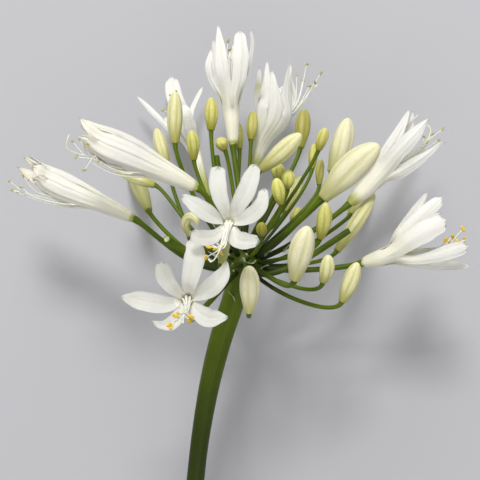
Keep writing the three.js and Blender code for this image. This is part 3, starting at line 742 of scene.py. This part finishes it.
def open_floret(name, flower, root):
    dice = np.random.default_rng(sum(map(ord, name)))
    joint, throat, axis = flower.ends()
    cad = f"flower_{name}"

    petals = Shell()
    for number, (tepal, azimuth) in enumerate(sectors(flower)):
        blade(petals, flower, number, tepal, azimuth, dice)
    skin = PETAL_OPEN_SHADED if flower.face else PETAL_FADED if flower.faded else PETAL
    petals.piece(f"perianth_{name}", [skin, PETAL if flower.face else skin], "perianth", cad)

    stalk = Shell()
    receptacle(stalk, flower, root)
    stalk.piece(f"pedicel_{name}", [STALK], "pedicel", cad)

    bundle = [seen(p) for p in flower.bundle]
    foot = joint + (throat - joint) * 0.7
    zero = any_normal(axis)
    filaments, sacs = Shell(), Shell()
    for i, spot in enumerate(flower.anthers):
        end = seen(spot)
        aside = turned(zero, axis, math.radians(60 * i + 15)) * (flower.radius - 0.75)
        loose = dice.uniform(-0.5, 0.5, 3)
        through = [foot + 0.8 * aside, throat + aside, *[b + 0.6 * aside + loose for b in bundle], end]
        line, _ = spline(through, PEDICEL_ROWS)
        radii = np.interp(np.linspace(0, 1, len(line)), FILAMENT_SHARES, FILAMENT_RADII)
        round_sweep(filaments, line, radii * (0.8 if flower.faded else 1), FILAMENT_SIDES)
        way = unit(dice.normal(size=3) * 0.8 + unit(end - line[-4]))
        anther(sacs, end, way, any_normal(way), flower.anther, 0.23 * flower.anther)
    filaments.piece(f"filaments_{name}", [FILAMENT], "stamens", f"{cad}_stamens")
    sacs.piece(f"anthers_{name}", [ANTHER if flower.fresh else ANTHER_OLD], "stamens", f"{cad}_stamens")

    style = Shell()
    through = [joint + axis * 2, foot, throat, *bundle, *[seen(p) for p in flower.stigma]]
    line, _ = spline(through, STYLE_ROWS)
    radii = np.linspace(*STYLE_RADII, STYLE_ROWS)
    radii[: len(OVARY_RADII)] = OVARY_RADII
    radii[-len(STIGMA_RADII) :] = STIGMA_RADII
    round_sweep(style, line, radii * (0.75 if flower.faded else 1), STYLE_SIDES)
    style.piece(f"style_{name}", [STYLE], "pistil", f"{cad}_pistil")


# ---------- buds

BUD_SIDES = 48
BUD_ROWS, BUD_TIP_ROWS = 28, 12
BUD_NARROWS_AT, BUD_TAPER = 0.58, 0.425
CUT_SIDES = 16

# The rings of a cut end: scale, how deep it lies and material; the last is the middle.
STUB_CUT = ((0.86, 0.05, 0), (0.7, 0.25, 1), (0.3, 0.35, 1), (0, 0.4, 1))


def bud_radius(share, joint_radius, widest):
    if share < BUD_NARROWS_AT:
        return joint_radius + (widest - joint_radius) * float(smoothstep(share, -0.25, 0.52))
    return widest * max(0.0, 1 - ((share - BUD_NARROWS_AT) / BUD_TAPER) ** 1.9) ** 0.55


def bud(number, joint, tip, width, skin, root):
    dice = random.Random(number)
    joint, tip = vec(joint), vec(tip)
    axis = unit(tip - joint)
    stalk_radius = 0.45 + 0.065 * width
    cad = f"bud_{number:02d}"

    stalk = Shell()
    line = np.vstack([pedicel_line(root, joint, axis), joint + axis * 0.8])
    radii = stalk_radius * np.append(1 + 0.25 * flared(0.85), 1)
    round_sweep(stalk, line, radii, STALK_SIDES, three_sided(0.15))
    stalk.piece(f"pedicel_{number:02d}", [STALK], "pedicel", cad)

    roll = dice.uniform(0, TURN)
    spiral = dice.uniform(-0.4, 0.4)
    lean = vec([dice.uniform(-1, 1) for _ in range(3)]) * 0.07 * width
    shares = np.concatenate([np.linspace(0, 0.9, BUD_ROWS), np.linspace(0.915, 1, BUD_TIP_ROWS)])
    centres = np.array([joint + (tip - joint) * s + lean * math.sin(math.pi * s) for s in shares])
    if number in BENT_BUDS:
        dense, _ = spline([joint, *BENT_BUDS[number], tip], 200)
        even = np.linspace(0, 1, len(dense))
        centres = np.stack([np.interp(shares, even, dense[:, k]) for k in range(3)], axis=1)
    sizes = np.array([bud_radius(s, stalk_radius * 1.15, width / 2) for s in shares])

    def bumps(row, angle):
        s = shares[row]
        turn = 3 * (angle + roll + spiral * s)
        seam = (0.5 + 0.5 * math.cos(turn)) ** 10
        dip = (0.5 - 0.5 * math.cos(turn)) ** 24
        depth = float(smoothstep(s, 0.05, 0.4))
        return 1 - depth * (0.08 * seam + 0.03 * dip + 0.02 * math.cos(turn))

    shell = Shell()
    turns = (roll + spiral * shares) / 2 / math.pi
    round_sweep(shell, centres, np.maximum(sizes, 0.05), BUD_SIDES, bumps, turns=turns)
    shell.piece(f"bud_tepals_{number:02d}", [BUD_SKINS[skin]], "bud", cad)


def cut_stub(number, end, width, root, faces, *nodes):
    """A pedicel whose floret was cut away, with its pale cut face a little hollowed."""
    end = vec(end)
    shell = Shell()
    line = pedicel_line(root, end, unit(vec(faces)))

    def bumps(row, angle):
        return 1 + 0.04 * math.cos(4 * angle)

    numbers = round_sweep(shell, line, np.full(len(line), width / 2), CUT_SIDES, bumps, caps=(True, False))
    inward = unit(line[-2] - line[-1])
    shell.hollow(numbers[-1], end, inward, STUB_CUT, lambda side, scale: (0.5, 1))
    shell.piece(f"cut_stalk_{number}", [STALK, CUT_FACE], "pedicel", *nodes)


# ---------- scape and hub

SCAPE_ROWS = 150
SCAPE_SIDES = 64
HUB_CLEARANCE = 6.5
DOME = np.array([-5.0, -3.5, -2, 0, 2, 3.6, 5, 6.1, 6.8, 7.2])
SCAPE_CUT = ((0.97, -0.12, 0), (0.9, 0.02, 1), (0.6, 0.18, 1), (0.3, 0.22, 1), (0, 0.25, 1))
SHRED_ROWS, SHRED_COLUMNS = 20, 5
SHRED_HALF_THICKNESS = 0.06


def scape():
    line, _ = spline(SCAPE_LINE, SCAPE_ROWS)
    shares = np.linspace(0, 1, SCAPE_ROWS)
    radii = SCAPE_CUT_RADIUS + (SCAPE_TOP_RADIUS - SCAPE_CUT_RADIUS) * smoothstep(shares, 0.62, 0.95)
    keep = np.linalg.norm(line, axis=1) > HUB_CLEARANCE
    pole = unit(line[-1] - line[-4])
    line = np.vstack([line[keep], DOME[:, None] * pole])
    radii = np.concatenate([radii[keep], np.sqrt(HUB_RADIUS**2 - DOME**2)])

    def bumps(row, angle):
        ribs = 0.012 * math.sin(17 * angle + 0.01 * row) + 0.01 * math.sin(9 * angle - 0.02 * row)
        return 1 + ribs + 0.015 * math.sin(2 * angle + 0.03 * row)

    def spot(side, scale):
        return 0.5 + 0.5 * scale * math.cos(2 * math.pi * side / SCAPE_SIDES), 0

    shell = Shell()
    numbers = round_sweep(shell, line, radii, SCAPE_SIDES, bumps, caps=(False, True))
    shell.hollow(numbers[0], line[0], unit(line[1] - line[0]), SCAPE_CUT, spot, flip=True)
    shell.piece("scape_skin", [SCAPE, CUT_FACE], "scape", "scape")


def bracteoles():
    """Papery shreds round the feet of the pedicels, left from the bracts that wrapped the umbel."""
    shell = Shell()
    for shred in SHREDS:
        line, _ = spline([seen(p) for p in shred], SHRED_ROWS)
        ways = tangents(line)
        across = carried(ways, any_normal(ways[0]))
        shares = np.linspace(0, 1, SHRED_ROWS)
        halves = 0.62 * np.sin(math.pi * (0.15 + 0.85 * shares)) ** 0.7 + 0.05
        spots = np.linspace(-1, 1, SHRED_COLUMNS)
        fronts, backs, uvs = [], [], []
        for r, half in enumerate(halves):
            side = turned(across[r], ways[r], 0.14 * r)
            normal = np.cross(side, ways[r])
            middle = line[r] + np.outer(spots * half, side) + np.outer(0.45 * spots**2 * half, normal)
            fronts.append(middle + normal * SHRED_HALF_THICKNESS)
            backs.append(middle - normal * SHRED_HALF_THICKNESS)
            uvs.append([(0.5 + 0.5 * a, shares[r]) for a in spots])
        shell.sheet(fronts, backs, uvs)
    shell.piece("bracteoles", [PAPERY_SHADED], "pedicel", "scape")


# ---------- materials


class Material:
    """A short hand for node trees round one Principled shader."""

    def __init__(
        self, name, roughness, subsurface=0, radius=(1, 0.8, 0.6), scale=0.001, specular=0.4, sheen=0
    ):
        self.made = bpy.data.materials.new(name)
        self.made.use_nodes = True
        self.nodes, self.links = self.made.node_tree.nodes, self.made.node_tree.links
        self.shader = self.nodes["Principled BSDF"]
        looks = {
            "Roughness": roughness,
            "Subsurface Weight": subsurface,
            "Subsurface Radius": radius,
            "Subsurface Scale": scale,
            "Specular IOR Level": specular,
            "Sheen Weight": sheen,
        }
        for key, value in looks.items():
            self.shader.inputs[key].default_value = value
        self.uv = self.node("ShaderNodeUVMap")
        self.uv.uv_map = "Blade"
        self.place = self.node("ShaderNodeTexCoord").outputs["Object"]

    def node(self, kind, **values):
        made = self.nodes.new(kind)
        for key, value in values.items():
            setattr(made, key, value)
        return made

    def feed(self, socket, value):
        """Links a node's output to a socket, or sets the socket's number or colour."""
        if isinstance(value, bpy.types.NodeSocket):
            self.links.new(value, socket)
        else:
            socket.default_value = (*value, 1) if isinstance(value, tuple) else value

    def math(self, operation, *values):
        made = self.node("ShaderNodeMath", operation=operation)
        for socket, value in zip(made.inputs, values):
            self.feed(socket, value)
        return made.outputs[0]

    def times(self, a, b):
        return self.math("MULTIPLY", a, b)

    def plus(self, a, b):
        return self.math("ADD", a, b)

    def ramp(self, factor, *stops):
        made = self.node("ShaderNodeValToRGB")
        made.color_ramp.interpolation = "EASE"
        while len(made.color_ramp.elements) < len(stops):
            made.color_ramp.elements.new(0.5)
        for element, (position, colour) in zip(made.color_ramp.elements, stops):
            element.position = position
            element.color = (*colour, 1)
        self.feed(made.inputs["Fac"], factor)
        return made.outputs["Color"]

    def greys(self, factor, *stops):
        """A ramp whose stops are a position and a lightness from 0 to 1."""
        return self.ramp(factor, *[(position, (light,) * 3) for position, light in stops])

    def mix(self, factor, a, b):
        made = self.node("ShaderNodeMix", data_type="RGBA")
        for number, value in zip((0, 6, 7), (factor, a, b)):
            self.feed(made.inputs[number], value)
        return made.outputs[2]

    def noise(self, scale, detail, stretch=None):
        """Noise in the object's own metres, or in its UVs where it is stretched."""
        mapping = self.node("ShaderNodeMapping")
        self.links.new(self.uv.outputs["UV"] if stretch else self.place, mapping.inputs["Vector"])
        mapping.inputs["Scale"].default_value = stretch or (1, 1, 1)
        made = self.node("ShaderNodeTexNoise")
        made.inputs["Scale"].default_value = scale
        made.inputs["Detail"].default_value = detail
        made.inputs["Roughness"].default_value = 0.55
        self.links.new(mapping.outputs["Vector"], made.inputs["Vector"])
        return made.outputs["Fac"]

    def across_and_along(self):
        split = self.node("ShaderNodeSeparateXYZ")
        self.links.new(self.uv.outputs["UV"], split.inputs[0])
        return split.outputs["X"], split.outputs["Y"]

    def bump(self, height, strength, distance):
        made = self.node("ShaderNodeBump")
        made.inputs["Strength"].default_value = strength
        made.inputs["Distance"].default_value = distance
        self.links.new(height, made.inputs["Height"])
        self.links.new(made.outputs["Normal"], self.shader.inputs["Normal"])

    def colour(self, socket):
        self.links.new(socket, self.shader.inputs["Base Color"])
        return self.made


def petal_material(name, faded, body, glow, depth):
    m = Material(name, 0.5, subsurface=glow, radius=(1, 0.95, 0.8), scale=depth, specular=0.3, sheen=0.05)
    across, along = m.across_and_along()
    traits = m.node("ShaderNodeSeparateXYZ")
    m.links.new(m.node("ShaderNodeAttribute", attribute_name="Traits").outputs["Vector"], traits.inputs[0])
    fold, free, foot = traits.outputs
    veins = m.noise(9, 4, (14, 0.7, 1))
    base = m.ramp(along, (0.0, (0.92, 0.88, 0.68)), (0.3, (0.92, 0.9, 0.76)), (0.5, body))
    base = m.mix(m.greys(foot, (0.25, 1), (1.0, 0)), base, (0.42, 0.45, 0.1))
    middle = m.math("ABSOLUTE", m.math("SUBTRACT", across, 0.5))
    rib = m.greys(middle, (0.0, 1), (0.09, 0))
    base = m.mix(m.times(rib, 0.14), base, (0.72, 0.74, 0.52))
    # Painted shade: darker along the hollows of the folds, more strongly on faded florets.
    crease_shade = m.greys(fold, (0.2, 1), (0.5, 0))
    base = m.mix(m.times(crease_shade, 0.3 if faded else 0.14), base, (0.62, 0.58, 0.44))
    base = m.mix(m.times(m.greys(veins, (0.42, 0), (0.62, 1)), 0.12), base, (0.7, 0.69, 0.58))
    if faded:
        withered = m.times(m.greys(free, (0.86, 0), (1.0, 1)), m.greys(veins, (0.4, 0), (0.6, 1)))
        base = m.mix(m.greys(free, (0.45, 0), (0.9, 0.25)), base, (0.74, 0.68, 0.52))
        base = m.mix(m.times(withered, 0.4), base, (0.5, 0.42, 0.25))
    m.bump(m.plus(m.times(veins, 0.7), m.noise(900, 2)), 0.35, 0.00025)
    return m.colour(base)


def bud_material(name, foot, body, rib_colour, tip):
    m = Material(name, 0.42, subsurface=0.3, radius=(1, 0.9, 0.5), scale=0.0015, specular=0.35)
    across, along = m.across_and_along()
    base = m.ramp(along, (0.0, foot), (0.38, body), (0.8, body), (1.0, tip))
    seams = m.plus(m.times(m.math("COSINE", m.times(across, 6 * math.pi)), 0.5), 0.5)
    ribs = m.greys(seams, (0.0, 1), (0.07, 0.3), (0.25, 0), (0.88, 0), (1.0, 0.9))
    fading = m.greys(along, (0.25, 1), (0.85, 0.35))
    base = m.mix(m.times(m.times(ribs, fading), 0.75), base, rib_colour)
    veins, mottle = m.noise(10, 4, (5, 1.2, 1)), m.noise(260, 3)
    streaks = m.greys(veins, (0.4, 0), (0.66, 1))
    base = m.mix(m.times(streaks, 0.3), base, rib_colour)
    m.bump(m.plus(m.times(veins, 0.8), m.times(mottle, 0.5)), 0.3, 0.0003)
    return m.colour(m.mix(m.times(mottle, 0.12), base, rib_colour))


def stalk_material(name, dark, mid, light, stretch, scale, shades):
    m = Material(name, 0.42, subsurface=0.1, radius=(0.6, 1, 0.3), scale=0.0008, specular=0.2)
    streaks, patches = m.noise(scale, 4, stretch), m.noise(45, 3)
    tone = m.plus(m.times(streaks, 0.6), m.times(patches, 0.4))
    base = m.ramp(tone, (0.3, dark), (0.52, mid), (0.74, light))
    shade = m.greys(m.across_and_along()[1], *shades)
    base = m.mix(shade, base, tuple(0.45 * c for c in dark))
    m.bump(m.plus(streaks, m.times(m.noise(1400, 2), 0.4)), 0.3, 0.0003)
    return m.colour(base)


def plain_tissue(name, low, high, roughness, scale=500, strength=0.4):
    m = Material(name, roughness, subsurface=0.15, radius=(1, 0.8, 0.5), scale=0.0005)
    grains = m.noise(scale, 4)
    m.bump(grains, strength, 0.0002)
    return m.colour(m.ramp(grains, (0.35, low), (0.65, high)))


PETAL = petal_material("petal", False, (0.82, 0.815, 0.78), 0.35, 0.001)
# Open florets' petals: a darker body as painted shade, for lobes that face the lamps squarely.
PETAL_OPEN_SHADED = petal_material("petal_open_shaded", False, (0.67, 0.67, 0.615), 0.6, 0.0025)
PETAL_FADED = petal_material("petal_faded", True, (0.81, 0.80, 0.74), 0.35, 0.001)

# Bud colours: foot, body, ribs and tip.
BUD_COLOURS = {
    # Cream made lighter as painted light, for a bud that the florets above it shade.
    "cream_painted_lit": ((0.55, 0.54, 0.17), (0.98, 0.95, 0.68), (0.7, 0.69, 0.3), (0.98, 0.96, 0.68)),
    "cream": ((0.44, 0.43, 0.15), (0.82, 0.785, 0.56), (0.57, 0.56, 0.26), (0.86, 0.84, 0.6)),
    "pale": ((0.36, 0.35, 0.08), (0.8, 0.77, 0.46), (0.45, 0.45, 0.13), (0.86, 0.84, 0.59)),
    "lime": ((0.29, 0.28, 0.02), (0.68, 0.65, 0.22), (0.35, 0.35, 0.04), (0.8, 0.78, 0.37)),
    # Lime made lighter as painted light, for buds that the buds above them shade.
    "lime_painted_lit": ((0.33, 0.32, 0.02), (0.82, 0.8, 0.25), (0.4, 0.4, 0.05), (0.88, 0.86, 0.4)),
    # Olive, partly the bud's own colour and partly painted shade.
    "olive_partly_painted_shade": ((0.27, 0.28, 0.04), (0.43, 0.4, 0.11), (0.29, 0.28, 0.04), (0.54, 0.51, 0.17)),
    # A dull dark olive as painted shade, for a bud deep at the back of the umbel.
    "dull_painted_shade": ((0.29, 0.3, 0.1), (0.44, 0.42, 0.21), (0.31, 0.31, 0.11), (0.57, 0.55, 0.31)),
    "green": ((0.2, 0.2, 0.015), (0.36, 0.34, 0.05), (0.22, 0.22, 0.02), (0.42, 0.4, 0.08)),
}
BUD_SKINS = {name: bud_material(f"bud_{name}", *colours) for name, colours in BUD_COLOURS.items()}
STALK = stalk_material(
    "stalk_green",
    dark=(0.03, 0.055, 0.002),
    mid=(0.095, 0.15, 0.003),
    light=(0.19, 0.26, 0.012),
    stretch=(9, 1.5, 1),
    scale=5,
    shades=((0.0, 0.95), (0.22, 0.75), (0.5, 0)),
)
SCAPE = stalk_material(
    "scape_green",
    dark=(0.05, 0.08, 0.002),
    mid=(0.1, 0.152, 0.003),
    light=(0.16, 0.215, 0.008),
    stretch=(22, 0.8, 1),
    scale=4,
    shades=((0.0, 0.65), (0.6, 0.9), (0.9, 0), (1.0, 0.9)),
)
CUT_FACE = plain_tissue("cut_face", (0.4, 0.5, 0.2), (0.66, 0.72, 0.42), 0.55)
FILAMENT = plain_tissue("filament_white", (0.78, 0.78, 0.66), (0.88, 0.88, 0.82), 0.45)
ANTHER = plain_tissue("anther_pollen", (0.66, 0.4, 0.02), (0.88, 0.66, 0.07), 0.8, 1800, 0.8)
ANTHER_OLD = plain_tissue("anther_spent", (0.3, 0.26, 0.05), (0.62, 0.56, 0.18), 0.8, 1800, 0.8)
STYLE = plain_tissue("style_pale", (0.7, 0.74, 0.5), (0.86, 0.87, 0.74), 0.4)
# Papery shreds: partly their own pale green, and partly painted shade of the crowded hub in their darker
# tones.
PAPERY_SHADED = plain_tissue("bracteole_papery_shaded", (0.22, 0.3, 0.09), (0.5, 0.57, 0.33), 0.7)


# ---------- building

ways = [f.leave or seen(f.joint) for f in FLOWERS.values()]
ways += [leave[0] if leave else joint for joint, _, _, _, *leave in BUDS]
ways += [leave or end for end, _, leave, _ in CUT_PEDICELS]
roots = iter(spread_roots(ways))

scape()
for name, flower in FLOWERS.items():
    open_floret(name, flower, next(roots))
for i, (joint, tip, width, skin, *_) in enumerate(BUDS, 1):
    bud(i, joint, tip, width, skin, next(roots))
for i, (end, width, _, faces) in enumerate(CUT_PEDICELS, 1):
    cut_stub(i, end, width, next(roots), faces, f"cut_pedicel_{i}")
end, width, way_out, faces = LOOSE_STUB
cut_stub(3, end, width, unit(vec(way_out)), faces)
bracteoles()


# ---------- floor, light and camera

FLOOR_SIZE = 6
FLOOR_GAP = 0.0005
WARM = (1, 0.99, 0.97)


def floor():
    bpy.ops.mesh.primitive_plane_add(size=FLOOR_SIZE, location=(0, 0, 0))
    ground = bpy.context.object
    ground.name = "floor"
    m = Material("floor_paper", 0.9, specular=0.1)
    m.bump(m.noise(300, 3), 0.05, 0.0005)
    tone = m.ramp(m.noise(0.8, 2), (0.3, (0.485, 0.49, 0.52)), (0.7, (0.505, 0.51, 0.54)))
    ground.data.materials.append(m.colour(tone))
    ground.location.z = -FLOOR_GAP


def area_light(name, place, size, power, colour):
    """A square lamp that faces the hub."""
    data = bpy.data.lights.new(name, "AREA")
    data.size, data.energy, data.color = size, power, colour
    made = bpy.data.objects.new(name, data)
    made.location = metres(place)
    made.rotation_euler = (Vector(metres((0, 0, 0))) - made.location).to_track_quat("-Z", "Y").to_euler()
    bpy.context.scene.collection.objects.link(made)


def lights():
    area_light("key", (-80, 950, 1400), 0.35, 17, WARM)
    area_light("top", (-300, 1350, 900), 1.0, 10, WARM)
    area_light("fill", (100, -900, 1000), 1.6, 5, (1, 0.99, 0.98))
    world = bpy.data.worlds.new("studio")
    bpy.context.scene.world = world
    world.use_nodes = True
    background = world.node_tree.nodes["Background"]
    background.inputs["Color"].default_value = (*WARM, 1)
    background.inputs["Strength"].default_value = 0.37


def camera():
    data = bpy.data.cameras.new("camera")
    data.sensor_width = SENSOR
    data.lens = SENSOR * CAMERA_HEIGHT / (PIXEL * PICTURE_PIXELS)
    made = bpy.data.objects.new("camera", data)
    made.location = metres((0, 0, CAMERA_HEIGHT))
    back = (made.location - Vector(metres(seen((*PICTURE_CENTRE, 0))))).normalized()
    right = Vector((0, 1, 0)).cross(back).normalized()
    made.rotation_euler = Matrix((right, back.cross(right), back)).transposed().to_euler()
    bpy.context.scene.collection.objects.link(made)
    bpy.context.scene.camera = made


floor()
lights()
camera()
bpy.context.scene.view_settings.view_transform = "Standard"
bpy.context.scene.view_settings.look = "None"
